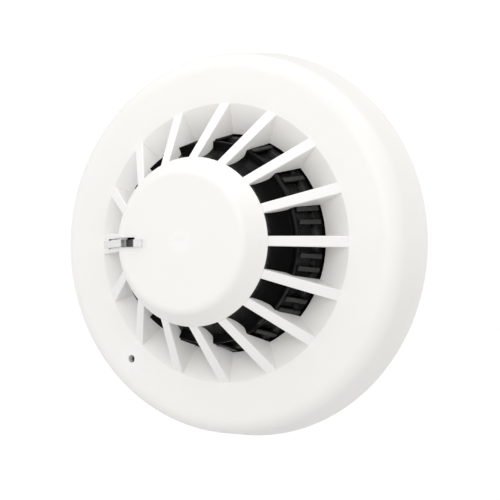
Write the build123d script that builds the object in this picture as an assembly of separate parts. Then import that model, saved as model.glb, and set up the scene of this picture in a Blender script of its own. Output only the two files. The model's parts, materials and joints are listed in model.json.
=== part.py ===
"""Heat detector: bayonet head on a mounting base, each piece a separate solid.

Every piece is drawn lying on its back: the detector's axis is +Z, z = 0 is the mounting face,
x runs to the right of the face and y to its top. stand_up() then turns each piece so that the
face looks along -Y with +Z up, and the origin stays at the centre of the mounting face.
Angles are counted anticlockwise from the right, as seen by someone facing the detector.
"""
from build123d import *
from math import cos, radians, sin
import os

# ---- cover: rim, skirt and dish -------------------------------------------------------------
SKIRT_R = 50.0             # outer radius at the back edge of the skirt
SKIRT_BACK_Z = 0.8         # back edge of the skirt, clear of the mounting surface
SKIRT_DRAFT = 1.0          # how much the skirt narrows up to its shoulder
SKIRT_EDGE_ROUND = 0.4
SHOULDER_Z = 15.7          # height where the skirt and the face would meet
SHOULDER_ROUND = 5.2       # radius of the round shoulder
COVER_WALL = 2.0
RIM_R = 36.0               # edge between the face and the dish
RIM_Z = 18.0
RIM_ROUND = 0.5
DISH_EDGE_R = 28.2         # hole in the dish, where the sensor cage comes through
DISH_DEPTH = 2.3           # how far the dish falls from the rim to its hole

# ---- vanes and front cap --------------------------------------------------------------------
VANE_COUNT = 16
VANE_W_RIM = 3.0
VANE_W_CAP = 2.5
VANE_EDGE_ROUND = 0.3
VANE_OVERLAP = 2.0         # how far a blank runs into the cap and the cover
VANE_CAGE_BITE = 0.8       # of the cage's wall: how far a blank runs into it
LED_VANE_W_RIM = 5.4
LED_VANE_W_CAP = 4.4
LED_VANE_ANGLE = 180.0
CAP_R = 21.75              # radius of the cap's back edge
CAP_BACK_Z = 34.6
CAP_TAPER = 3.6            # how much the cap narrows up to where its side would meet its front
CAP_DEPTH = 6.6            # from the back edge to the rim of the front
CAP_CROWN = 0.3            # rise of the front from its edge to its centre
CAP_ROUND = 2.4
CAP_EDGE_ROUND = 0.2
CAP_WALL = 1.8

# ---- light pipe -----------------------------------------------------------------------------
PIPE_W = 1.85
PIPE_DROP = 0.35           # how far the pipe lies below the middle of its vane
PIPE_PROUD = 1.35          # how far it stands out of the vane and the cap
PIPE_DEPTH = 2.0           # how far it reaches in behind their fronts
PIPE_BURY = 0.8            # depth of the leg's top below the front of the vane
PIPE_VANE_R = 31.0         # where it comes out of the vane
PIPE_SLOT_END_R = 13.3     # where its slot in the cap's front ends
PIPE_END_R = 10.85         # where it ends, on top of the cap's front
PIPE_ROUND = 1.6           # at the outer bends
PIPE_END_ROUND = 0.35
PIPE_LEG_GAP = 0.8         # between the cage's flange and the leg that runs down to the LED
PIPE_LEG_W = 2.0
PIPE_SIDE_GAP = 0.05
PIPE_TOP_GAP = 0.5         # wider gap above the pipe
PIPE_LED_GAP = 0.5
PIPE_CAGE_GAP = 0.15
RELIEF_R = 0.35            # small relief hole in the vane, under the pipe's outer end
RELIEF_DEPTH = 1.2

# ---- sensor cage and insect screen ----------------------------------------------------------
CAGE_WALL = 1.1
CAGE_CAP_INSET = 0.45      # how far the neck stands in from the cap's back edge
CAGE_STEP_BELOW = 3.32     # how far the step lies behind the line of the vanes' fronts
CAGE_STEP_W = 1.7          # width of the step at the foot of the neck
CAGE_NECK_HOLLOW = 0.58    # how far the neck's side curves in from a straight line
CAGE_LEAN = 1.85           # how much the lower wall narrows from the dish up to the step
CAGE_STEP_ROUND = 0.5
CAGE_DISH_GAP = 0.25       # between the cage's foot and the hole in the dish
CAGE_RIB_CLEARANCE = 0.25  # between the hole in the dish and the lower wall, inside that gap
CAGE_FLANGE_W = 2.2        # how far the flange reaches out behind the dish
CAGE_FLANGE_GAP = 0.1      # between the flange and the dish
CAGE_PERIODS = 14
CAGE_PANEL_ANGLE = -11.4   # centre of one narrow panel
CAGE_PANEL_W = 7.3         # degrees between the two ribs of a narrow panel
CAGE_RIB_W = 1.15
CAGE_RIB_PROUD = 0.45
CAGE_RIB_FOOT = 1.2        # height of a rib's foot above the hole in the dish
CAGE_NECK_FILLET = 0.5     # in the corner between the neck and the step
CAGE_WINDOW_FOOT_Z = 19.2
CAGE_WINDOW_TOP_GAP = 0.8  # between the windows and the step
SCREEN_WALL = 0.4
SCREEN_GAP = 0.1
SCREEN_LAP = 0.6           # how far the screen runs below the windows
SCREEN_SLOTS = 8           # in each wide window
SCREEN_SLOT_H = 0.45
SCREEN_SLOT_SPAN = 14.0    # degrees

# ---- inside of the head ---------------------------------------------------------------------
CHASSIS_COVER_GAP = 0.7    # between the chassis and the skirt, at the shoulder
CHASSIS_BACK_Z = 9.4
CHASSIS_T = 1.6
BOARD_R = 36.3
BOARD_T = 1.6
CHASSIS_SCREW_OUTSIDE = 2.0  # circle of the three chassis screws, outside the dish's rim
CHASSIS_SCREW_COUNT = 3
CHASSIS_SCREW_ANGLE = 0.0
CHASSIS_BOSS_OD = 6.0
CHASSIS_SCREW_D = 2.9
CHASSIS_SCREW_HEAD_D = 5.6
CHASSIS_SCREW_HEAD_T = 1.6
CHASSIS_SCREW_L = 4.6      # shank
CHASSIS_RECESS = (1.3, 0.9)  # cross recess: half its width, depth
SCREW_CLEARANCE = 0.1
BOARD_CLEARANCE = 0.4

THERMISTOR_BEAD_D = 2.2
THERMISTOR_TIP_Z = 28.9
THERMISTOR_POST_D = 3.6
THERMISTOR_POST_TOP_Z = 23.0
LEAD_D = 0.5
LEAD_SPACING = 1.3
LEAD_CLEARANCE = 0.05
THERMISTOR_POST_BEVEL = 0.5
LED_SIZE = (2.0, 1.25, 0.8)
LED_LENS_R = 0.45
LED_LENS_H = 0.5

# ---- parts on the circuit board: length, width and height, and places from its centre --------
CHIP_SIZE = (7.0, 7.0, 1.2)
CHIP_STANDOFF = 0.15
CHIP_PLACE = (-9.0, 8.0)
CHIP_PIN = (1.2, 0.4, 0.4)
CHIP_PIN_REACH = 0.4       # from the chip's side to the middle of a pin
CHIP_PIN_PITCH = 0.9
CHIP_PINS_A_SIDE = 7
CAPACITOR_R = 3.15
CAPACITOR_H = 6.9
CAPACITOR_ROUND = 0.6
CAPACITOR_FOOT = (6.6, 6.6, 0.8)
CAPACITOR_PLACE = (11.0, -8.0)
TRANSISTOR_SIZE = (6.5, 3.5, 1.6)
TRANSISTOR_TAB = (3.0, 1.8, 0.4)
TRANSISTOR_LEG = (0.7, 1.8, 0.4)
TRANSISTOR_LEG_PITCH = 2.3
TRANSISTOR_REACH = 2.6     # from its centre to the middle of the tab and of the legs
TRANSISTOR_PLACE = (10.0, 9.0)
SURGE_SIZE = (4.3, 2.6, 2.0)
SURGE_LEADS = (5.6, 1.5, 0.5)
SURGE_PLACES = ((-8.0, -6.0), (-8.0, -11.0))
RESISTOR_SIZE = (2.0, 1.25, 0.55)
RESISTOR_ROWS = ((0.0, 6.0, 2.2), (2.0, -6.0, -2.2))  # x, first y and pitch of each row
RESISTORS_A_ROW = 3

# ---- bayonet --------------------------------------------------------------------------------
TAB_COUNT = 3
TAB_ANGLE = 60.0           # centre of the first tab with the head seated
TAB_SPAN = 12.0            # degrees
HOOK_SPAN = 14.0           # degrees
TAB_BACK_Z = 4.9
TAB_T = 1.9
TAB_HOOK_GAP = 0.2         # along the axis
TAB_SIDE_GAP = 0.3         # across the axis
TAB_REACH = 2.2            # how far a tab stands out of its segment
SEGMENT_T = 1.3            # wall of the segments that carry the tabs
SEGMENT_MARGIN = 2.0       # degrees that a segment runs past its tab
STOP_GAP = 0.5             # degrees between a seated tab and its stop
STOP_SPAN = 3.0            # degrees

# ---- base -----------------------------------------------------------------------------------
BASE_COVER_GAP = 1.3       # between the base and the skirt's back edge
BASE_WALL = 1.3
BASE_FLOOR_T = 2.4
HOOK_T = 1.6
CABLE_ENTRY_R = 9.0
CABLE_COLLAR_WALL = 1.4
CABLE_COLLAR_H = 1.2
FIXING_SPACING = 55.0
FIXING_HOLE_R = 2.2
FIXING_SLOT_L = 9.4
FIXING_PAD_R = 4.6
FIXING_PAD_H = 0.8

# ---- terminals and contacts -----------------------------------------------------------------
TERMINAL_COUNT = 4
TERMINAL_ANGLE = 45.0
TERMINAL_SCREW_R = 24.0    # circle of the terminal screws
TERMINAL_BOSS = (10.6, 9.0, 1.6)
CONTACT_W = 7.0
CONTACT_T = 0.6
LEAF_W = 5.0
LEAF_T = 0.5
LEAF_RISE = 0.35
LEAF_TIP_L = 1.4           # the leaf's tip bends down past its crest
LEAF_TIP_DROP = 0.8
LEAF_BEND = 0.2            # how much shorter the leaf's inner bends are
CLAMP_T = 0.9
CLAMP_ROUND = 0.8
TERMINAL_SCREW_D = 3.2
TERMINAL_HEAD_D = 6.2
TERMINAL_HEAD_T = 2.1
TERMINAL_SCREW_TIP_Z = 0.6
TERMINAL_TIP_GAP = 0.2
TERMINAL_RECESS = (1.9, 1.1)
BLADE_R = 33.0
BLADE_T = 0.8
BLADE_W = 4.0
BLADE_FOOT = (4.0, 5.0)
BLADE_LEAF_GAP = 0.2
BLADE_SLOT_GAP = 0.1
BLADE_TAIL = 0.7           # how far a blade stands out of the board
BLADE_BEVEL = 0.32

# ---- head lock ------------------------------------------------------------------------------
LOCK_EDGE = 2.0            # between the chassis's edge and the boss of the locking screw
LOCK_ANGLE = -133.2
ACCESS_HOLE_D = 2.0
LOCK_SCREW_D = 3.0
LOCK_SCREW_L = 6.0
LOCK_RUNNING_GAP = 0.05
LOCK_BOSS_D = 6.4
LOCK_BOSS_ABOVE = 1.6      # boss height in front of the chassis
LOCK_BOSS_BELOW = 1.4
LOCK_TRAVEL = 2.0          # of the screw's tip, down between the teeth
LOCK_FLOOR_GAP = 2.3       # left under the tip when it is all the way down
LOCK_POINT_BEVEL = 0.4
LOCK_TOOTH_GAP = 0.5       # between the screw's tip and the teeth, in each direction
LOCK_TOOTH_W = 3.0
LOCK_TOOTH_DEEP = 3.4
HEX_KEY_AF = 1.5
HEX_KEY_DEPTH = 2.2
HEAD_ROUND = 0.45          # of a screw head's thickness

# ---- sizes that follow from the ones above --------------------------------------------------
CHASSIS_TOP_Z = CHASSIS_BACK_Z + CHASSIS_T
BOARD_TOP_Z = CHASSIS_TOP_Z + BOARD_T
DISH_EDGE_Z = RIM_Z - DISH_DEPTH
DISH_UNDER_Z = DISH_EDGE_Z - COVER_WALL
FLANGE_TOP_Z = DISH_UNDER_Z - CAGE_FLANGE_GAP
CAP_FRONT_Z = CAP_BACK_Z + CAP_DEPTH
CAP_SIDE_TOP_R = CAP_R - CAP_TAPER
SHOULDER_R = SKIRT_R - SKIRT_DRAFT
CAGE_NECK_R = CAP_R - CAGE_CAP_INSET
CAGE_NECK_Z = CAP_BACK_Z
CAGE_FOOT_EDGE_R = DISH_EDGE_R - CAGE_DISH_GAP
CAGE_FOOT_R = CAGE_FOOT_EDGE_R - CAGE_RIB_CLEARANCE
CAGE_STEP_R = CAGE_FOOT_R - CAGE_LEAN
VANE_SLOPE = (CAP_BACK_Z - RIM_Z) / (RIM_R - CAP_R)
CAGE_STEP_Z = RIM_Z + VANE_SLOPE * (RIM_R - CAGE_STEP_R) - CAGE_STEP_BELOW
CAGE_NECK_FOOT_R = CAGE_STEP_R - CAGE_STEP_W
CAGE_FLANGE_R = DISH_EDGE_R + CAGE_FLANGE_W
CAGE_WINDOW_TOP_Z = CAGE_STEP_Z - CAGE_WINDOW_TOP_GAP
PIPE_LEG_R = CAGE_FLANGE_R + PIPE_LEG_GAP
CHASSIS_R = SHOULDER_R - COVER_WALL - CHASSIS_COVER_GAP
CHASSIS_SCREW_R = RIM_R + CHASSIS_SCREW_OUTSIDE
LOCK_R = CHASSIS_R - LOCK_EDGE - LOCK_BOSS_D / 2
BASE_R = SKIRT_R - COVER_WALL - BASE_COVER_GAP
BASE_WALL_IN_R = BASE_R - BASE_WALL
TAB_OUT_R = BASE_WALL_IN_R - TAB_SIDE_GAP
HOOK_Z = TAB_BACK_Z + TAB_T + TAB_HOOK_GAP
BASE_RIM_Z = HOOK_Z + HOOK_T
SEGMENT_OUT_R = TAB_OUT_R - TAB_REACH
HOOK_IN_R = SEGMENT_OUT_R + TAB_SIDE_GAP
CONTACT_Z = BASE_FLOOR_T + TERMINAL_BOSS[2]
LEAF_TOP_Z = CONTACT_Z + CONTACT_T + LEAF_RISE
BLADE_FOOT_Z = LEAF_TOP_Z + BLADE_LEAF_GAP
LOCK_TIP_Z = BASE_FLOOR_T + LOCK_FLOOR_GAP + LOCK_TRAVEL
LOCK_TOOTH_TOP_Z = LOCK_TIP_Z - LOCK_TOOTH_GAP
THROUGH = 200.0            # longer than anything here, for cuts that go right through


# ---- helpers --------------------------------------------------------------------------------
def disc(r, z0, z1):
    """Solid cylinder about the axis from z0 to z1."""
    return Pos(0, 0, z0) * Cylinder(r, z1 - z0, align=(Align.CENTER, Align.CENTER, Align.MIN))


def ring(r_in, r_out, z0, z1):
    return disc(r_out, z0, z1) - disc(r_in, z0 - 1, z1 + 1)


def peg(r, z0, z1, at_r, angle):
    """Solid cylinder standing at radius at_r and the given angle."""
    return Rot(0, 0, angle) * Pos(at_r, 0, 0) * disc(r, z0, z1)


def block(length, width, z0, z1, at_r, angle):
    """Box standing at radius at_r: length is radial, width is across."""
    box = Box(length, width, z1 - z0, align=(Align.CENTER, Align.CENTER, Align.MIN))
    return Rot(0, 0, angle) * Pos(at_r, 0, z0) * box


def round_corner(profile, r, z, radius):
    """Round the corner of a radius-height profile that lies nearest to (r, z)."""
    corner = profile.vertices().sort_by_distance(Vector(r, 0, z))[0]
    return fillet(corner, radius)


def outline(points):
    """Flat profile in the plane of radius (x) and height (z)."""
    return Plane.XZ * make_face(Polyline(*points, close=True))


def turned(profile):
    return revolve(profile, Axis.Z, 360)


def sector(r_in, r_out, z0, z1, centre, span):
    """Piece of a ring that spans the given degrees about the centre angle."""
    profile = outline([(r_in, z0), (r_out, z0), (r_out, z1), (r_in, z1)])
    return Rot(0, 0, centre - span / 2) * revolve(profile, Axis.Z, span)


def spread(count, first=0.0):
    return [first + 360.0 * k / count for k in range(count)]


def line_r(z, r0, z0, r1, z1):
    """Radius at height z on the straight line from (r0, z0) to (r1, z1)."""
    return r0 + (r1 - r0) * (z - z0) / (z1 - z0)


def group(shapes):
    """Several separate solids that share one piece's name."""
    return Compound([solid for shape in shapes for solid in shape.solids()])


def stand_up(shape):
    """Turn a piece from lying on its back to standing with its face along -Y."""
    return Rot(90, 0, 0) * shape


# ---- cover ----------------------------------------------------------------------------------
def face_z(r):
    """Height of the cover's front face at radius r, before the shoulder is rounded."""
    return RIM_Z + (SHOULDER_Z - RIM_Z) * (r - RIM_R) / (SHOULDER_R - RIM_R)


def cover_shell():
    outside = outline([
        (DISH_EDGE_R, DISH_EDGE_Z), (RIM_R, RIM_Z), (SHOULDER_R, SHOULDER_Z),
        (SKIRT_R, SKIRT_BACK_Z), (SKIRT_R - COVER_WALL, SKIRT_BACK_Z),
        (SHOULDER_R - COVER_WALL, SHOULDER_Z - COVER_WALL),
        (RIM_R, RIM_Z - COVER_WALL), (DISH_EDGE_R, DISH_UNDER_Z)])
    outside = round_corner(outside, SHOULDER_R, SHOULDER_Z, SHOULDER_ROUND)
    outside = round_corner(outside, SHOULDER_R - COVER_WALL, SHOULDER_Z - COVER_WALL,
                           SHOULDER_ROUND - COVER_WALL)
    outside = round_corner(outside, RIM_R, RIM_Z, RIM_ROUND)
    outside = round_corner(outside, SKIRT_R, SKIRT_BACK_Z, SKIRT_EDGE_ROUND)
    return turned(outside)


def outer_cover(pipe_slot):
    cover = cover_shell()
    boss_r = CHASSIS_BOSS_OD / 2
    for angle in spread(CHASSIS_SCREW_COUNT, CHASSIS_SCREW_ANGLE):
        top = face_z(CHASSIS_SCREW_R) - COVER_WALL / 2
        cover += peg(boss_r, CHASSIS_TOP_Z, top, CHASSIS_SCREW_R, angle)
        hole_r = CHASSIS_SCREW_D / 2 + SCREW_CLEARANCE
        hole_top = CHASSIS_TOP_Z + CHASSIS_SCREW_L - CHASSIS_T + SCREW_CLEARANCE
        cover -= peg(hole_r, CHASSIS_TOP_Z, hole_top, CHASSIS_SCREW_R, angle)
    cover -= peg(ACCESS_HOLE_D / 2, CHASSIS_TOP_Z + LOCK_BOSS_ABOVE, RIM_Z + 1, LOCK_R, LOCK_ANGLE)
    return cover - pipe_slot


def cap_profile():
    crown_z = CAP_FRONT_Z + CAP_CROWN
    inner_top = CAP_FRONT_Z - CAP_WALL
    profile = outline([
        (0, crown_z), (CAP_SIDE_TOP_R, CAP_FRONT_Z), (CAP_R, CAP_BACK_Z),
        (CAP_R - CAP_WALL, CAP_BACK_Z), (CAP_SIDE_TOP_R - CAP_WALL, inner_top), (0, inner_top)])
    profile = round_corner(profile, CAP_SIDE_TOP_R, CAP_FRONT_Z, CAP_ROUND)
    return round_corner(profile, CAP_R, CAP_BACK_Z, CAP_EDGE_ROUND)


def front_cap(pipe_slot):
    return turned(cap_profile()) - pipe_slot


def front_edge_z(r):
    """Height of a vane's front edge at radius r."""
    return RIM_Z + (CAP_BACK_Z - RIM_Z) * (RIM_R - r) / (RIM_R - CAP_R)


def vane_blank(w_rim, w_cap):
    """One vane on the +x side, before the cover and cage are cut out of it."""
    within = CAGE_WALL * VANE_CAGE_BITE
    side = outline([
        (RIM_R, RIM_Z), (CAP_R, CAP_BACK_Z), (CAGE_NECK_R - within, CAGE_NECK_Z),
        (CAGE_NECK_FOOT_R - within, CAGE_STEP_Z), (CAGE_STEP_R, CAGE_STEP_Z),
        (DISH_EDGE_R, DISH_EDGE_Z)])
    blade = extrude(side, w_rim, both=True)
    inner = CAGE_NECK_R - VANE_OVERLAP
    outer = RIM_R + VANE_OVERLAP
    plan = make_face(Polyline(
        (inner, -w_cap / 2), (outer, -w_rim / 2), (outer, w_rim / 2), (inner, w_cap / 2),
        close=True))
    blade = blade & extrude(plan, CAP_FRONT_Z)
    front = [edge for edge in blade.edges() if lies_on_front(edge)]
    return fillet(front, VANE_EDGE_ROUND)


def lies_on_front(edge):
    """True for the two long edges of a vane's front face."""
    middle = edge.center()
    return edge.length > (RIM_R - CAP_R) / 2 and abs(middle.Z - front_edge_z(middle.X)) < 0.01


def vane(w_rim, w_cap, angle, envelope):
    """A vane with everything that it meets cut out of it."""
    blade = Rot(0, 0, angle) * vane_blank(w_rim, w_cap)
    for other in envelope:
        blade -= other
    return blade


def plain_vane_angles():
    return [a for a in spread(VANE_COUNT) if abs(a - LED_VANE_ANGLE) > 1]


def cover_vanes(envelope):
    return group(vane(VANE_W_RIM, VANE_W_CAP, angle, envelope) for angle in plain_vane_angles())


def led_vane(envelope, pipe_slot):
    return vane(LED_VANE_W_RIM, LED_VANE_W_CAP, LED_VANE_ANGLE, envelope) - pipe_slot


# ---- light pipe -----------------------------------------------------------------------------
def front_normal():
    """Direction square to the front edge of a vane, as (radius, height)."""
    run = RIM_R - CAP_R
    rise = CAP_BACK_Z - RIM_Z
    length = (run ** 2 + rise ** 2) ** 0.5
    return rise / length, run / length


def cap_front_z(r):
    """Height of the cap's front at radius r."""
    return CAP_FRONT_Z + CAP_CROWN * (1 - r / CAP_SIDE_TOP_R)


def pipe_outline():
    """Side view: up the vane, round the cap's shoulder and in along the cap's front."""
    leg_out = PIPE_LEG_R + PIPE_LEG_W
    led_top = BOARD_TOP_Z + LED_SIZE[2]
    out_r, out_z = (PIPE_PROUD * n for n in front_normal())
    start = (PIPE_VANE_R, front_edge_z(PIPE_VANE_R))
    bend = (CAP_R + out_r, CAP_BACK_Z + out_z)
    shoulder = (CAP_SIDE_TOP_R + PIPE_PROUD, CAP_FRONT_Z + PIPE_PROUD)
    end = (PIPE_END_R, cap_front_z(PIPE_END_R) + PIPE_PROUD)
    profile = outline([
        (leg_out, led_top + PIPE_LED_GAP), (leg_out, front_edge_z(leg_out) - PIPE_BURY), start,
        (start[0] + out_r, start[1] + out_z), bend, shoulder, end,
        (PIPE_END_R, cap_front_z(PIPE_END_R) + PIPE_SIDE_GAP),
        (PIPE_SLOT_END_R, cap_front_z(PIPE_SLOT_END_R) + PIPE_SIDE_GAP),
        (PIPE_SLOT_END_R, CAP_FRONT_Z - PIPE_DEPTH),
        (CAP_SIDE_TOP_R - PIPE_DEPTH, CAP_FRONT_Z - PIPE_DEPTH),
        (CAGE_NECK_R + PIPE_CAGE_GAP, CAP_BACK_Z),
        (PIPE_LEG_R - PIPE_DEPTH, front_edge_z(PIPE_LEG_R) - PIPE_DEPTH / 2),
        (PIPE_LEG_R, front_edge_z(PIPE_LEG_R) - PIPE_DEPTH),
        (PIPE_LEG_R, led_top + PIPE_LED_GAP)])
    profile = round_corner(profile, *shoulder, PIPE_ROUND)
    profile = round_corner(profile, *bend, PIPE_ROUND)
    return round_corner(profile, *end, PIPE_END_ROUND)


def light_pipe():
    pipe = Rot(0, 0, LED_VANE_ANGLE) * extrude(pipe_outline(), PIPE_W / 2, both=True)
    return Pos(0, -PIPE_DROP, 0) * pipe


def pipe_room():
    """Slot for the light pipe, with a wider gap on the side that faces up."""
    wide = extrude(pipe_outline(), PIPE_W / 2 + PIPE_SIDE_GAP, both=True)
    room = Pos(0, -PIPE_DROP, 0) * Rot(0, 0, LED_VANE_ANGLE) * wide
    room += Pos(0, PIPE_TOP_GAP, 0) * room
    start_z = front_edge_z(PIPE_VANE_R)
    relief = peg(RELIEF_R, start_z - RELIEF_DEPTH, start_z + RELIEF_DEPTH,
                 PIPE_VANE_R - RELIEF_R, LED_VANE_ANGLE)
    return room + Pos(0, -PIPE_DROP - PIPE_W / 2, 0) * relief


# ---- sensor cage and insect screen ----------------------------------------------------------
def cage_side_r(z):
    """Outer radius of the cage's lower wall at height z."""
    return line_r(z, CAGE_STEP_R, CAGE_STEP_Z, CAGE_FOOT_R, DISH_EDGE_Z)


def neck_side(inset, foot_z):
    """Hollow side of the neck, from its foot up to the cap, moved in by the inset."""
    foot = (CAGE_NECK_FOOT_R - inset, foot_z)
    return SagittaArc(foot, (CAGE_NECK_R - inset, CAGE_NECK_Z), CAGE_NECK_HOLLOW)


def cage_wall():
    under_z = CAGE_STEP_Z - CAGE_WALL
    foot_in = CAGE_FOOT_R - CAGE_WALL
    sides = Polyline(
        (CAGE_NECK_FOOT_R, CAGE_STEP_Z), (CAGE_STEP_R, CAGE_STEP_Z), (CAGE_FOOT_R, DISH_EDGE_Z),
        (CAGE_FOOT_R, FLANGE_TOP_Z), (CAGE_FLANGE_R, FLANGE_TOP_Z), (CAGE_FLANGE_R, BOARD_TOP_Z),
        (foot_in, BOARD_TOP_Z), (foot_in, DISH_EDGE_Z), (cage_side_r(under_z) - CAGE_WALL, under_z),
        (CAGE_NECK_FOOT_R - CAGE_WALL, under_z))
    top = Line((CAGE_NECK_R - CAGE_WALL, CAGE_NECK_Z), (CAGE_NECK_R, CAGE_NECK_Z))
    edges = [neck_side(0, CAGE_STEP_Z), sides, neck_side(CAGE_WALL, under_z), top]
    profile = Plane.XZ * make_face(Curve() + edges)
    profile = round_corner(profile, CAGE_STEP_R, CAGE_STEP_Z, CAGE_STEP_ROUND)
    profile = round_corner(profile, CAGE_NECK_FOOT_R, CAGE_STEP_Z, CAGE_NECK_FILLET)
    return turned(profile)


def cage_ribs():
    """Pairs of ribs that stand proud of the lower wall, one pair to each narrow panel."""
    low = DISH_EDGE_Z + CAGE_RIB_FOOT
    high = CAGE_STEP_Z - CAGE_WALL
    tall = outline([
        (cage_side_r(low) - CAGE_WALL / 2, low), (cage_side_r(low) + CAGE_RIB_PROUD, low),
        (cage_side_r(high) + CAGE_RIB_PROUD, high), (cage_side_r(high) - CAGE_WALL / 2, high)])
    rib = extrude(tall, CAGE_RIB_W / 2, both=True)
    ribs = []
    for angle in spread(CAGE_PERIODS, CAGE_PANEL_ANGLE):
        for side in (-1, 1):
            ribs.append(Rot(0, 0, angle + side * CAGE_PANEL_W / 2) * rib)
    return ribs


def cage_windows():
    """Two windows to each period: a narrow one in a pair of ribs and a wide one beside it."""
    period = 360.0 / CAGE_PERIODS
    rib_degrees = CAGE_RIB_W / radians(1) / CAGE_STEP_R
    inner = CAGE_STEP_R - 2 * CAGE_WALL
    outer = CAGE_FOOT_R + 2 * CAGE_RIB_PROUD
    windows = []
    for angle in spread(CAGE_PERIODS, CAGE_PANEL_ANGLE):
        for centre, width in ((angle, CAGE_PANEL_W), (angle + period / 2, period - CAGE_PANEL_W)):
            windows.append(sector(inner, outer, CAGE_WINDOW_FOOT_Z, CAGE_WINDOW_TOP_Z, centre,
                                  width - rib_degrees))
    return windows


def sensor_cage():
    cage = cage_wall()
    for rib in cage_ribs():
        cage += rib
    for window in cage_windows():
        cage -= window
    return cage


def insect_screen():
    """Thin sleeve behind the cage's windows, with a stack of fine slots in each window."""
    low = CAGE_WINDOW_FOOT_Z - SCREEN_LAP
    high = CAGE_STEP_Z - CAGE_WALL - SCREEN_GAP
    out_low = cage_side_r(low) - CAGE_WALL - SCREEN_GAP
    out_high = cage_side_r(high) - CAGE_WALL - SCREEN_GAP
    screen = turned(outline([
        (out_low - SCREEN_WALL, low), (out_low, low),
        (out_high, high), (out_high - SCREEN_WALL, high)]))
    period = 360.0 / CAGE_PERIODS
    pitch = (CAGE_WINDOW_TOP_Z - CAGE_WINDOW_FOOT_Z) / SCREEN_SLOTS
    for angle in spread(CAGE_PERIODS, CAGE_PANEL_ANGLE + period / 2):
        for k in range(SCREEN_SLOTS):
            z = CAGE_WINDOW_FOOT_Z + (k + 0.5) * pitch
            screen -= sector(out_high - 2 * SCREEN_WALL, out_low + SCREEN_WALL,
                             z - SCREEN_SLOT_H / 2, z + SCREEN_SLOT_H / 2, angle, SCREEN_SLOT_SPAN)
    return screen


# ---- chassis, board and what stands on it ---------------------------------------------------
def blade_angles():
    return spread(TERMINAL_COUNT, TERMINAL_ANGLE)


def blade_slots(z0, z1):
    wide = BLADE_W + 2 * BLADE_SLOT_GAP
    thick = BLADE_T + 2 * BLADE_SLOT_GAP
    return [block(thick, wide, z0, z1, BLADE_R, a) for a in blade_angles()]


def head_chassis():
    chassis = disc(CHASSIS_R, CHASSIS_BACK_Z, CHASSIS_TOP_Z)
    for angle in spread(TAB_COUNT, TAB_ANGLE):
        span = TAB_SPAN + 2 * SEGMENT_MARGIN
        segment_in = SEGMENT_OUT_R - SEGMENT_T
        chassis += sector(segment_in, SEGMENT_OUT_R, TAB_BACK_Z, CHASSIS_BACK_Z, angle, span)
        chassis += sector(segment_in, TAB_OUT_R, TAB_BACK_Z, TAB_BACK_Z + TAB_T, angle, TAB_SPAN)
    boss = peg(LOCK_BOSS_D / 2, CHASSIS_BACK_Z - LOCK_BOSS_BELOW, CHASSIS_TOP_Z + LOCK_BOSS_ABOVE,
               LOCK_R, LOCK_ANGLE)
    chassis += boss
    chassis -= peg(LOCK_SCREW_D / 2 + LOCK_RUNNING_GAP, 0, RIM_Z, LOCK_R, LOCK_ANGLE)
    for angle in spread(CHASSIS_SCREW_COUNT, CHASSIS_SCREW_ANGLE):
        chassis -= peg(CHASSIS_SCREW_D / 2 + SCREW_CLEARANCE, 0, RIM_Z, CHASSIS_SCREW_R, angle)
    for slot in blade_slots(0, RIM_Z):
        chassis -= slot
    return chassis


def pan_screw(head_r, head_t, shank_r, shank_len, recess):
    """Pan-head screw along the axis: the head's bearing face at z = 0, the head on the -z side."""
    recess_r, recess_deep = recess
    head = disc(head_r, -head_t, 0)
    head = fillet(head.edges().sort_by(Axis.Z)[0], head_t * HEAD_ROUND)
    screw = head + disc(shank_r, 0, shank_len)
    for turn in (0, 90):
        screw -= block(2 * recess_r, recess_r / 2, -head_t, -head_t + recess_deep, 0, turn)
    return screw


def chassis_screws():
    screw = pan_screw(CHASSIS_SCREW_HEAD_D / 2, CHASSIS_SCREW_HEAD_T, CHASSIS_SCREW_D / 2,
                      CHASSIS_SCREW_L, CHASSIS_RECESS)
    return group(Rot(0, 0, a) * Pos(CHASSIS_SCREW_R, 0, CHASSIS_BACK_Z) * screw
                 for a in spread(CHASSIS_SCREW_COUNT, CHASSIS_SCREW_ANGLE))


def circuit_board():
    board = disc(BOARD_R, CHASSIS_TOP_Z, BOARD_TOP_Z)
    for angle in spread(CHASSIS_SCREW_COUNT, CHASSIS_SCREW_ANGLE):
        notch_r = CHASSIS_BOSS_OD / 2 + BOARD_CLEARANCE
        board -= peg(notch_r, 0, RIM_Z, CHASSIS_SCREW_R, angle)
    board -= peg(LOCK_BOSS_D / 2 + BOARD_CLEARANCE, 0, RIM_Z, LOCK_R, LOCK_ANGLE)
    for slot in blade_slots(0, RIM_Z):
        board -= slot
    return board


def lead_at(side, radius, z0, z1):
    return Pos(side * LEAD_SPACING / 2, 0, 0) * disc(radius, z0, z1)


def thermistor_bead():
    return Pos(0, 0, THERMISTOR_TIP_Z - THERMISTOR_BEAD_D / 2) * Sphere(THERMISTOR_BEAD_D / 2)


def thermistor_leads():
    bead = thermistor_bead()
    top = THERMISTOR_TIP_Z - THERMISTOR_BEAD_D / 2
    return group(lead_at(side, LEAD_D / 2, BOARD_TOP_Z, top) - bead for side in (-1, 1))


def thermistor_post():
    post = disc(THERMISTOR_POST_D / 2, BOARD_TOP_Z, THERMISTOR_POST_TOP_Z)
    post = chamfer(post.edges().sort_by(Axis.Z)[-1], THERMISTOR_POST_BEVEL)
    for side in (-1, 1):
        post -= lead_at(side, LEAD_D / 2 + LEAD_CLEARANCE, 0, THROUGH)
    return post


def on_board(length, width, height, x, y):
    box = Box(length, width, height, align=(Align.CENTER, Align.CENTER, Align.MIN))
    return Pos(x, y, BOARD_TOP_Z) * box


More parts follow.
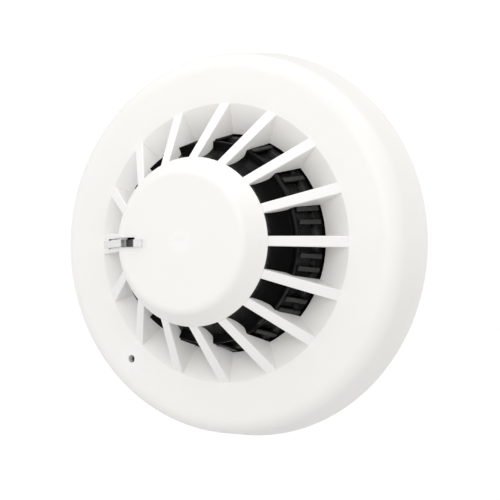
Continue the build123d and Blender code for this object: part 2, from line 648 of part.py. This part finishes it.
def status_led():
    body = on_board(LED_SIZE[0], LED_SIZE[1], LED_SIZE[2], 0, 0)
    lens = disc(LED_LENS_R, BOARD_TOP_Z + LED_SIZE[2] / 2, BOARD_TOP_Z + LED_SIZE[2] + LED_LENS_H / 2)
    led = Rot(0, 0, LED_VANE_ANGLE) * Pos(PIPE_LEG_R + PIPE_LEG_W / 2, 0, 0) * (body + lens)
    return Pos(0, -PIPE_DROP, 0) * led


def microcontroller():
    side = CHIP_SIZE[0]
    chip = Pos(0, 0, CHIP_STANDOFF) * on_board(*CHIP_SIZE, 0, 0)
    for turn in (0, 90, 180, 270):
        for k in range(CHIP_PINS_A_SIDE):
            y = (k - (CHIP_PINS_A_SIDE - 1) / 2) * CHIP_PIN_PITCH
            chip += Rot(0, 0, turn) * on_board(*CHIP_PIN, side / 2 + CHIP_PIN_REACH, y)
    return Pos(*CHIP_PLACE) * chip


def electrolytic_capacitor():
    foot_top = BOARD_TOP_Z + CAPACITOR_FOOT[2]
    can = disc(CAPACITOR_R, foot_top, foot_top + CAPACITOR_H)
    can = fillet(can.edges().sort_by(Axis.Z)[-1], CAPACITOR_ROUND)
    return Pos(*CAPACITOR_PLACE) * (can + on_board(*CAPACITOR_FOOT, 0, 0))


def line_transistor():
    body = on_board(*TRANSISTOR_SIZE, 0, 0) + on_board(*TRANSISTOR_TAB, 0, TRANSISTOR_REACH)
    for k in (-1, 0, 1):
        body += on_board(*TRANSISTOR_LEG, TRANSISTOR_LEG_PITCH * k, -TRANSISTOR_REACH)
    return Pos(*TRANSISTOR_PLACE) * body


def surge_suppressors():
    body = on_board(*SURGE_SIZE, 0, 0) + on_board(*SURGE_LEADS, 0, 0)
    return group(Pos(*place) * body for place in SURGE_PLACES)


def chip_resistors():
    body = on_board(*RESISTOR_SIZE, 0, 0)
    return group(Pos(x, first + pitch * k) * body
                 for x, first, pitch in RESISTOR_ROWS for k in range(RESISTORS_A_ROW))


def head_blade(angle):
    """Contact blade: a foot that wipes over the base contact, and a stem up to the board."""
    foot_top = BLADE_FOOT_Z + BLADE_T
    foot = block(BLADE_FOOT[0], BLADE_FOOT[1], BLADE_FOOT_Z, foot_top, BLADE_R, 0)
    edges = foot.edges().filter_by(Axis.X).group_by(Axis.Z)[0]
    foot = chamfer(edges, BLADE_BEVEL)
    stem = block(BLADE_T, BLADE_W, foot_top, BOARD_TOP_Z + BLADE_TAIL, BLADE_R, 0)
    return Rot(0, 0, angle) * (foot + stem)


# ---- base -----------------------------------------------------------------------------------
def fixing_slot(r, z0, z1, side):
    straight = FIXING_SLOT_L / 2 - FIXING_HOLE_R
    hull = Pos(-straight, 0, 0) * disc(r, z0, z1) + Pos(straight, 0, 0) * disc(r, z0, z1)
    hull += Pos(0, 0, z0) * Box(2 * straight, 2 * r, z1 - z0,
                                align=(Align.CENTER, Align.CENTER, Align.MIN))
    return Pos(side * FIXING_SPACING / 2, 0, 0) * hull


def lock_teeth():
    """Two teeth that the tip of the driven locking screw drops between."""
    near = LOCK_SCREW_D / 2 + LOCK_TOOTH_GAP
    teeth = []
    for side in (-1, 1):
        tooth = block(LOCK_TOOTH_DEEP, LOCK_TOOTH_W, BASE_FLOOR_T, LOCK_TOOTH_TOP_Z, LOCK_R, 0)
        teeth.append(Rot(0, 0, LOCK_ANGLE) * Pos(0, side * (near + LOCK_TOOTH_W / 2), 0) * tooth)
    return teeth


def base_body():
    base = disc(BASE_R, 0, BASE_FLOOR_T) + ring(BASE_WALL_IN_R, BASE_R, 0, BASE_RIM_Z)
    collar_r = CABLE_ENTRY_R + CABLE_COLLAR_WALL
    base += disc(collar_r, 0, BASE_FLOOR_T + CABLE_COLLAR_H)
    for angle in spread(TAB_COUNT, TAB_ANGLE):
        base += sector(HOOK_IN_R, BASE_WALL_IN_R + BASE_WALL / 2, HOOK_Z, BASE_RIM_Z, angle, HOOK_SPAN)
        stop = angle - TAB_SPAN / 2 - STOP_GAP - STOP_SPAN / 2
        base += sector(HOOK_IN_R, BASE_WALL_IN_R + BASE_WALL / 2, 0, BASE_RIM_Z, stop, STOP_SPAN)
    for angle in blade_angles():
        length, width, height = TERMINAL_BOSS
        base += block(length, width, 0, BASE_FLOOR_T + height, TERMINAL_SCREW_R, angle)
    for tooth in lock_teeth():
        base += tooth
    for side in (-1, 1):
        base += fixing_slot(FIXING_PAD_R, 0, BASE_FLOOR_T + FIXING_PAD_H, side)
        base -= fixing_slot(FIXING_HOLE_R, -1, BASE_RIM_Z, side)
    base -= disc(CABLE_ENTRY_R, -1, BASE_RIM_Z)
    for angle in blade_angles():
        hole_r = TERMINAL_SCREW_D / 2 + LEAD_CLEARANCE
        hole_z = TERMINAL_SCREW_TIP_Z - TERMINAL_TIP_GAP
        base -= peg(hole_r, hole_z, BASE_RIM_Z, TERMINAL_SCREW_R, angle)
    return base


def base_contact(angle):
    """Terminal plate with a sprung leaf that reaches out under the head's blade."""
    inner = TERMINAL_SCREW_R - TERMINAL_BOSS[0] / 2
    outer = TERMINAL_SCREW_R + TERMINAL_BOSS[0] / 2
    top = CONTACT_Z + CONTACT_T
    plate = block(outer - inner, CONTACT_W, CONTACT_Z, top, (inner + outer) / 2, 0)
    crest_in = BLADE_R - BLADE_FOOT[0] / 2
    crest_out = BLADE_R + BLADE_FOOT[0] / 2
    tip_r = crest_out + LEAF_TIP_L
    tip_z = LEAF_TOP_Z - LEAF_TIP_DROP
    leaf = extrude(outline([
        (outer, CONTACT_Z), (outer, top), (crest_in, LEAF_TOP_Z), (crest_out, LEAF_TOP_Z),
        (tip_r, tip_z), (tip_r, tip_z - LEAF_T),
        (crest_out - LEAF_BEND, LEAF_TOP_Z - LEAF_T), (crest_in + LEAF_BEND, LEAF_TOP_Z - LEAF_T)]),
        LEAF_W / 2, both=True)
    hole_r = TERMINAL_SCREW_D / 2 + SCREW_CLEARANCE
    strip = plate + leaf - peg(hole_r, 0, BASE_RIM_Z, TERMINAL_SCREW_R, 0)
    return Rot(0, 0, angle) * strip


def terminal_clamps():
    z0 = CONTACT_Z + CONTACT_T
    hole_r = TERMINAL_SCREW_D / 2 + SCREW_CLEARANCE
    clamp = block(CONTACT_W, CONTACT_W, z0, z0 + CLAMP_T, TERMINAL_SCREW_R, 0)
    clamp = fillet(clamp.edges().filter_by(Axis.Z), CLAMP_ROUND)
    clamp -= peg(hole_r, 0, BASE_RIM_Z, TERMINAL_SCREW_R, 0)
    return group(Rot(0, 0, a) * clamp for a in blade_angles())


def terminal_screws():
    seat_z = CONTACT_Z + CONTACT_T + CLAMP_T
    screw = pan_screw(TERMINAL_HEAD_D / 2, TERMINAL_HEAD_T, TERMINAL_SCREW_D / 2,
                      seat_z - TERMINAL_SCREW_TIP_Z, TERMINAL_RECESS)
    return group(Rot(0, 0, a) * Pos(TERMINAL_SCREW_R, 0, seat_z) * Rot(180, 0, 0) * screw
                 for a in blade_angles())


def lock_screw():
    """Grub screw with a hexagon socket at the front and a dog point at the back."""
    top = LOCK_TIP_Z + LOCK_SCREW_L
    body = disc(LOCK_SCREW_D / 2, LOCK_TIP_Z, top)
    body = chamfer(body.edges().sort_by(Axis.Z)[0], LOCK_POINT_BEVEL)
    socket = extrude(RegularPolygon(HEX_KEY_AF / 2, 6, major_radius=False), HEX_KEY_DEPTH)
    body -= Pos(0, 0, top - HEX_KEY_DEPTH) * socket
    return Rot(0, 0, LOCK_ANGLE) * Pos(LOCK_R, 0, 0) * body


# ---- all pieces -----------------------------------------------------------------------------
def build():
    pipe_slot = pipe_room()
    cage = sensor_cage()
    envelope = [cover_shell(), turned(cap_profile()), cage]
    parts = {
        "outer_cover": outer_cover(pipe_slot),
        "cover_vanes": cover_vanes(envelope),
        "led_vane": led_vane(envelope, pipe_slot),
        "front_cap": front_cap(pipe_slot),
        "light_pipe": light_pipe(),
        "sensor_cage": cage,
        "insect_screen": insect_screen(),
        "head_chassis": head_chassis(),
        "chassis_screws": chassis_screws(),
        "circuit_board": circuit_board(),
        "thermistor_bead": thermistor_bead(),
        "thermistor_leads": thermistor_leads(),
        "thermistor_post": thermistor_post(),
        "status_led": status_led(),
        "microcontroller": microcontroller(),
        "electrolytic_capacitor": electrolytic_capacitor(),
        "line_transistor": line_transistor(),
        "surge_suppressors": surge_suppressors(),
        "chip_resistors": chip_resistors(),
        "lock_screw": lock_screw(),
        "base_body": base_body(),
        "terminal_clamps": terminal_clamps(),
        "terminal_screws": terminal_screws(),
    }
    for number, angle in enumerate(blade_angles(), start=1):
        parts[f"head_blade_{number}"] = head_blade(angle)
        parts[f"base_contact_{number}"] = base_contact(angle)
    return parts


os.makedirs("parts", exist_ok=True)
for name, shape in build().items():
    export_step(stand_up(shape), f"parts/{name}.step")
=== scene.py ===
"""Looks of the heat detector: white cover, black cage, clear light pipe and the parts inside.

Every piece of the detector is a CAD node, dressed with a procedural material of its slot.
Lengths are in metres, apart from the lens and the sensor.
"""
import json
import math

import bpy
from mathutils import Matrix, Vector


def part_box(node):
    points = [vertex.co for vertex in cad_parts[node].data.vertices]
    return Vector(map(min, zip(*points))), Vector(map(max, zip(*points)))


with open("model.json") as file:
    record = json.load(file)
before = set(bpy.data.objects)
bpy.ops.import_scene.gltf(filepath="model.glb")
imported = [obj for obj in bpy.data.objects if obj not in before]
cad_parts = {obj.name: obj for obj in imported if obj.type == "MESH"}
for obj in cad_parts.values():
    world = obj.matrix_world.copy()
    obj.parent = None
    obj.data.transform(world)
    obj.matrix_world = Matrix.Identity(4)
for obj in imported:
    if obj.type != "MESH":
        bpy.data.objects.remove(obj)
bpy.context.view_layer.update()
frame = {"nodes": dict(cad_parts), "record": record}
nodes = frame["nodes"]
scene = bpy.context.scene


# ---- materials ------------------------------------------------------------------------------
EDGE_HIGHLIGHT_AND_WEAR = (0.505, 0.56)  # pointiness between which an edge turns to its lighter colour: painted highlight, with some wear
# the same for the white cover: painted highlight and some wear on its sharpest edges only
COVER_EDGE_HIGHLIGHT_AND_WEAR = (0.53, 0.60)

NOISE_LOW = 0.3             # most of a noise texture's values lie between these two
NOISE_HIGH = 0.7

# noise textures: scale, detail and roughness
DRIFT = (38.0, 3.0, 0.5)    # slow colour drift of moulded plastic
GLOSS = (160.0, 4.0, 0.6)   # uneven gloss
GRAIN = (2600.0, 2.0, 0.6)
COARSE_GRAIN = (1800.0, 2.0, 0.6)
DULL = (90.0, 4.0, 0.5)     # dull patches on metal
LINES = (900.0, 3.0, 0.5)   # fine drawn lines on metal
FLOW = (240.0, 3.0, 0.5)    # flow marks in the light pipe
MOTTLE = (6.0, 3.0, 0.5)    # the floor's unevenness

GRAIN_DEPTH = 0.00004
LINE_BUMP = 0.15
LINE_DEPTH = 0.00003
FLOW_BUMP = 0.10
FLOW_DEPTH = 0.00005
FLOW_STRETCH = (1.0, 0.3, 1.0)

ACRYLIC_DULL = (0.955, 0.955, 0.950)
ACRYLIC_CLEAR = (0.985, 0.985, 0.980)
ACRYLIC_ROUGH = (0.02, 0.07)
ACRYLIC_IOR = 1.49
PIPE_CLEAR_INSET = 0.0069   # from the cap's left edge to the middle of the pipe's clear stretch
PIPE_CLEAR_SPAN = (0.0016, 0.0020)  # distances from that middle between which it turns milky, partly painted light
PIPE_MILKY_PAINTED_LIGHT = 0.25           # transmission of the milky stretches, which are partly frosted acrylic and partly painted light where light through the pipe is missing

MIX_FIRST = 6               # colour sockets of a mix node
MIX_SECOND = 7
MIX_RESULT = 2


class Nodes:
    """Short helpers for one material's node tree."""

    def __init__(self, name):
        self.material = bpy.data.materials.new(name)
        self.material.use_nodes = True
        self.tree = self.material.node_tree
        self.shader = self.tree.nodes["Principled BSDF"]

    def add(self, kind, **settings):
        """New node of this kind."""
        node = self.tree.nodes.new(kind)
        for key, value in settings.items():
            setattr(node, key, value)
        return node

    def link(self, output, target):
        """Feed the output into the target socket."""
        self.tree.links.new(output, target)

    def place(self):
        """Object coordinates, in metres."""
        return self.add("ShaderNodeTexCoord").outputs["Object"]

    def noise(self, scale, detail, rough, stretch=None):
        """Noise over the object; a stretch above 1 along an axis makes it finer that way."""
        noise = self.add("ShaderNodeTexNoise")
        noise.inputs["Scale"].default_value = scale
        noise.inputs["Detail"].default_value = detail
        noise.inputs["Roughness"].default_value = rough
        where = self.place()
        if stretch:
            mapping = self.add("ShaderNodeMapping")
            mapping.inputs["Scale"].default_value = stretch
            self.link(where, mapping.inputs["Vector"])
            where = mapping.outputs["Vector"]
        self.link(where, noise.inputs["Vector"])
        return noise.outputs["Fac"]

    def spread(self, value, low, high, from_low=NOISE_LOW, from_high=NOISE_HIGH):
        """The value's range from_low..from_high stretched to low..high, and held to it."""
        remap = self.add("ShaderNodeMapRange")
        remap.inputs["From Min"].default_value = from_low
        remap.inputs["From Max"].default_value = from_high
        remap.inputs["To Min"].default_value = low
        remap.inputs["To Max"].default_value = high
        self.link(value, remap.inputs["Value"])
        return remap.outputs["Result"]

    def mix(self, factor, first, second):
        """Colour between first and second; each is a colour or a socket."""
        mix = self.add("ShaderNodeMix", data_type="RGBA")
        self.link(factor, mix.inputs["Factor"])
        for socket, value in ((mix.inputs[MIX_FIRST], first), (mix.inputs[MIX_SECOND], second)):
            if isinstance(value, tuple):
                socket.default_value = (*value, 1.0)
            else:
                self.link(value, socket)
        return mix.outputs[MIX_RESULT]

    def edges(self, low, high):
        """0 on flat surfaces and 1 on convex edges."""
        point = self.add("ShaderNodeNewGeometry").outputs["Pointiness"]
        return self.spread(point, 0.0, 1.0, low, high)

    def bump(self, height, strength, distance):
        """Surface normal that follows the height."""
        bump = self.add("ShaderNodeBump")
        bump.inputs["Strength"].default_value = strength
        bump.inputs["Distance"].default_value = distance
        self.link(height, bump.inputs["Height"])
        return bump.outputs["Normal"]


def plastic(name, light, dark, edge, rough, grain, specular=0.5, grain_noise=GRAIN,
            edge_highlight_and_wear=EDGE_HIGHLIGHT_AND_WEAR):
    """Moulded plastic: slow colour drift, fine grain, uneven gloss, and lighter edges that are a
    painted highlight with some wear.
    """
    n = Nodes(name)
    drift = n.noise(*DRIFT)
    base = n.mix(n.spread(drift, 0.0, 1.0), dark, light)
    # lighter edges: painted highlight, with some wear
    colour = n.mix(n.edges(*edge_highlight_and_wear), base, edge)
    n.link(colour, n.shader.inputs["Base Color"])
    gloss = n.noise(*GLOSS)
    n.link(n.spread(gloss, *rough), n.shader.inputs["Roughness"])
    fine = n.noise(*grain_noise)
    n.link(n.bump(fine, grain, GRAIN_DEPTH), n.shader.inputs["Normal"])
    n.shader.inputs["Specular IOR Level"].default_value = specular
    return n.material


def white_cover():
    """Warm white satin plastic, with a painted highlight and some wear on its sharpest edges only."""
    return plastic("white_cover", (0.925, 0.911, 0.884), (0.912, 0.897, 0.868),
                   (0.935, 0.925, 0.905), (0.30, 0.40), 0.22, specular=0.4, edge_highlight_and_wear=COVER_EDGE_HIGHLIGHT_AND_WEAR)


def black_cage():
    """Glossy, nearly black plastic with slightly lighter edges, a painted highlight."""
    return plastic("black_cage", (0.0035, 0.0035, 0.0035), (0.0022, 0.0022, 0.0022),
                   (0.045, 0.045, 0.044), (0.16, 0.26), 0.05, specular=0.035)


def metal(name, light, dark, rough, stretch):
    """Plated metal with fine drawn lines and dull patches."""
    n = Nodes(name)
    drift = n.noise(*DULL)
    n.link(n.mix(n.spread(drift, 0.0, 1.0), dark, light), n.shader.inputs["Base Color"])
    lines = n.noise(*LINES, stretch)
    n.link(n.spread(lines, *rough), n.shader.inputs["Roughness"])
    n.link(n.bump(lines, LINE_BUMP, LINE_DEPTH), n.shader.inputs["Normal"])
    n.shader.inputs["Metallic"].default_value = 1.0
    return n.material


def clear_pipe():
    """Acrylic with faint flow marks: clear for a short way inside the cap's edge, milky elsewhere,
    which is partly frosting and partly painted light.
    """
    n = Nodes("clear_pipe")
    flow = n.noise(*FLOW, FLOW_STRETCH)
    n.link(n.mix(n.spread(flow, 0.0, 1.0), ACRYLIC_DULL, ACRYLIC_CLEAR),
           n.shader.inputs["Base Color"])
    n.link(n.spread(flow, *ACRYLIC_ROUGH), n.shader.inputs["Roughness"])
    n.link(n.bump(flow, FLOW_BUMP, FLOW_DEPTH), n.shader.inputs["Normal"])
    cap_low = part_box("front_cap")[0]
    place = n.add("ShaderNodeSeparateXYZ")
    n.link(n.place(), place.inputs["Vector"])
    offset = n.add("ShaderNodeMath", operation="SUBTRACT")
    offset.inputs[1].default_value = cap_low.x + PIPE_CLEAR_INSET
    n.link(place.outputs["X"], offset.inputs[0])
    away = n.add("ShaderNodeMath", operation="ABSOLUTE")
    n.link(offset.outputs["Value"], away.inputs[0])
    # milky stretches: partly frosting, partly painted light that brightens the pipe beyond its clear
    # stretch
    n.link(n.spread(away.outputs["Value"], 1.0, PIPE_MILKY_PAINTED_LIGHT, *PIPE_CLEAR_SPAN),
           n.shader.inputs["Transmission Weight"])
    n.shader.inputs["IOR"].default_value = ACRYLIC_IOR
    return n.material


def circuit_green():
    """Green solder mask of the circuit board."""
    return plastic("board", (0.020, 0.130, 0.055), (0.012, 0.090, 0.038), (0.05, 0.20, 0.10),
                   (0.28, 0.42), 0.2)


MATERIALS = {
    "white_cover": white_cover,
    "black_cage": black_cage,
    "black_screen": lambda: plastic(
        "black_screen", (0.007, 0.007, 0.007), (0.005, 0.005, 0.005), (0.02, 0.02, 0.02),
        (0.30, 0.45), 0.2, specular=0.1),
    "clear_pipe": clear_pipe,
    "white_chassis": lambda: plastic(
        "white_chassis", (0.80, 0.79, 0.75), (0.76, 0.75, 0.71), (0.84, 0.83, 0.80),
        (0.40, 0.55), 0.35),
    "white_base": lambda: plastic(
        "white_base", (0.84, 0.83, 0.80), (0.81, 0.80, 0.77), (0.88, 0.87, 0.85),
        (0.42, 0.55), 0.45, grain_noise=COARSE_GRAIN),
    "board": circuit_green,
    "plated_steel": lambda: metal("plated_steel", (0.66, 0.66, 0.64), (0.52, 0.52, 0.52),
                                  (0.22, 0.42), (1.0, 6.0, 1.0)),
    "contact_metal": lambda: metal("contact_metal", (0.80, 0.72, 0.50), (0.66, 0.57, 0.36),
                                   (0.20, 0.38), (6.0, 1.0, 1.0)),
    "component_black": lambda: plastic(
        "component_black", (0.030, 0.030, 0.031), (0.020, 0.020, 0.021), (0.06, 0.06, 0.06),
        (0.45, 0.62), 0.5),
    "capacitor_can": lambda: metal("capacitor_can", (0.78, 0.79, 0.80), (0.68, 0.69, 0.71),
                                   (0.18, 0.30), (1.0, 8.0, 1.0)),
    "resistor_body": lambda: plastic(
        "resistor_body", (0.06, 0.06, 0.065), (0.04, 0.04, 0.045), (0.12, 0.12, 0.12),
        (0.15, 0.3), 0.2),
    "led_body": lambda: plastic(
        "led_body", (0.75, 0.10, 0.07), (0.60, 0.07, 0.05), (0.85, 0.25, 0.2),
        (0.1, 0.2), 0.1),
    "bead": lambda: plastic(
        "bead", (0.11, 0.075, 0.05), (0.07, 0.045, 0.03), (0.15, 0.10, 0.07),
        (0.05, 0.15), 0.1),
}


def dress_cad_nodes():
    """Give every CAD node the material of its slot."""
    made = {}
    for row in frame["record"]["subparts"]:
        slot = row["material_slot"]
        if slot not in made:
            made[slot] = MATERIALS[slot]()
        mesh = nodes[row["node"]].data
        mesh.materials.clear()
        mesh.materials.append(made[slot])


# ---- floor, light and camera ----------------------------------------------------------------
FLOOR_DROP = 0.11          # the floor lies this far below the detector's axis
CAMERA_AZIMUTH = math.radians(28.35)
CAMERA_ELEVATION = math.radians(-1.01)
CAMERA_DISTANCE = 1.05
LENS = 293.6               # mm, as is the sensor's width
AIM_RIGHT = 0.00657        # the camera aims this far to the right of the rim's centre
AIM_DOWN = 0.00184
SENSOR_WIDTH = 36.0
CLIP_START = 0.01
CLIP_END = 200.0

FLOOR_HALF = 30.0
FLOOR_FADE = (0.35, 1.0)   # distances between which the floor turns from the painted shade under the detector to white
# grey under the detector: painted shade, so that less light comes up from the floor onto the detector
FLOOR_PAINTED_SHADE = (0.69, 0.69, 0.69)
FLOOR_PAINTED_SHADE_PALE = (0.71, 0.71, 0.71)
FLOOR_FAR = (0.97, 0.97, 0.97)
FLOOR_ROUGH = (0.75, 0.9)

WALL_TOP = 0.06            # sines of the elevations between which the walls fade out
CEILING_FOOT = 0.35
WALL_STRENGTH = 1.03
CEILING_STRENGTH = 0.67
SUN_ANGLE = math.radians(45.0)
SUNS = {                   # direction that the light comes from, and its strength
    "overhead": ((0.1, 0.05, 1.0), 0.98),
    "front": ((0.3, -1.0, 0.25), 0.66),
    "upper_left": ((-0.6, -0.7, 0.8), 0.19),
}


def pale_floor():
    """Floor with painted shade: grey under the detector and nearly white further out."""
    n = Nodes("pale_floor")
    distance = n.add("ShaderNodeVectorMath", operation="LENGTH")
    n.link(n.place(), distance.inputs[0])
    far = n.spread(distance.outputs["Value"], 0.0, 1.0, *FLOOR_FADE)
    soft = n.spread(n.noise(*MOTTLE), 0.0, 1.0)
    painted_shade_colour = n.mix(soft, FLOOR_PAINTED_SHADE, FLOOR_PAINTED_SHADE_PALE)
    n.link(n.mix(far, painted_shade_colour, FLOOR_FAR), n.shader.inputs["Base Color"])
    n.link(n.spread(soft, *FLOOR_ROUGH, 0.0, 1.0), n.shader.inputs["Roughness"])
    mesh = bpy.data.meshes.new("floor")
    signs = ((-1, -1), (1, -1), (1, 1), (-1, 1))
    corners = [(x * FLOOR_HALF, y * FLOOR_HALF, 0) for x, y in signs]
    mesh.from_pydata(corners, [], [(0, 1, 2, 3)])
    mesh.materials.append(n.material)
    floor = bpy.data.objects.new("floor", mesh)
    floor.location = (0, 0, -FLOOR_DROP)
    scene.collection.objects.link(floor)


def soft_sun(name, source, strength):
    """Broad soft light that comes from the direction source."""
    data = bpy.data.lights.new(name, "SUN")
    data.energy = strength
    data.angle = SUN_ANGLE
    lamp = bpy.data.objects.new(name, data)
    lamp.rotation_euler = (-Vector(source)).to_track_quat("-Z", "Y").to_euler()
    scene.collection.objects.link(lamp)


def studio():
    """White walls, a dimmer ceiling and three broad lights."""
    world = bpy.data.worlds.new("studio")
    world.use_nodes = True
    tree = world.node_tree
    background = tree.nodes["Background"]
    background.inputs["Color"].default_value = (1.0, 1.0, 1.0, 1.0)
    direction = tree.nodes.new("ShaderNodeTexCoord").outputs["Generated"]
    height = tree.nodes.new("ShaderNodeSeparateXYZ")
    tree.links.new(direction, height.inputs["Vector"])
    dim = tree.nodes.new("ShaderNodeMapRange")
    dim.interpolation_type = "SMOOTHSTEP"
    dim.inputs["From Min"].default_value = WALL_TOP
    dim.inputs["From Max"].default_value = CEILING_FOOT
    dim.inputs["To Min"].default_value = WALL_STRENGTH
    dim.inputs["To Max"].default_value = CEILING_STRENGTH
    tree.links.new(height.outputs["Z"], dim.inputs["Value"])
    tree.links.new(dim.outputs["Result"], background.inputs["Strength"])
    scene.world = world
    scene.view_settings.view_transform = "Standard"
    for name, (source, strength) in SUNS.items():
        soft_sun(name, source, strength)


def camera():
    """Camera to the right of the face, aimed just beside the centre of the cover's rim."""
    rim_centre = Vector((0.0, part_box("outer_cover")[0].y, 0.0))
    flat = math.cos(CAMERA_ELEVATION)
    to_camera = Vector((flat * math.sin(CAMERA_AZIMUTH), -flat * math.cos(CAMERA_AZIMUTH),
                        math.sin(CAMERA_ELEVATION)))
    turn = (-to_camera).to_track_quat("-Z", "Y")
    right = turn @ Vector((1, 0, 0))
    up = turn @ Vector((0, 1, 0))
    target = rim_centre + AIM_RIGHT * right - AIM_DOWN * up
    data = bpy.data.cameras.new("camera")
    data.lens = LENS
    data.sensor_width = SENSOR_WIDTH
    data.clip_start = CLIP_START
    data.clip_end = CLIP_END
    eye = bpy.data.objects.new("camera", data)
    eye.location = target + CAMERA_DISTANCE * to_camera
    eye.rotation_euler = turn.to_euler()
    scene.collection.objects.link(eye)
    scene.camera = eye


# ---- the scene ------------------------------------------------------------------------------
dress_cad_nodes()
pale_floor()
studio()
camera()
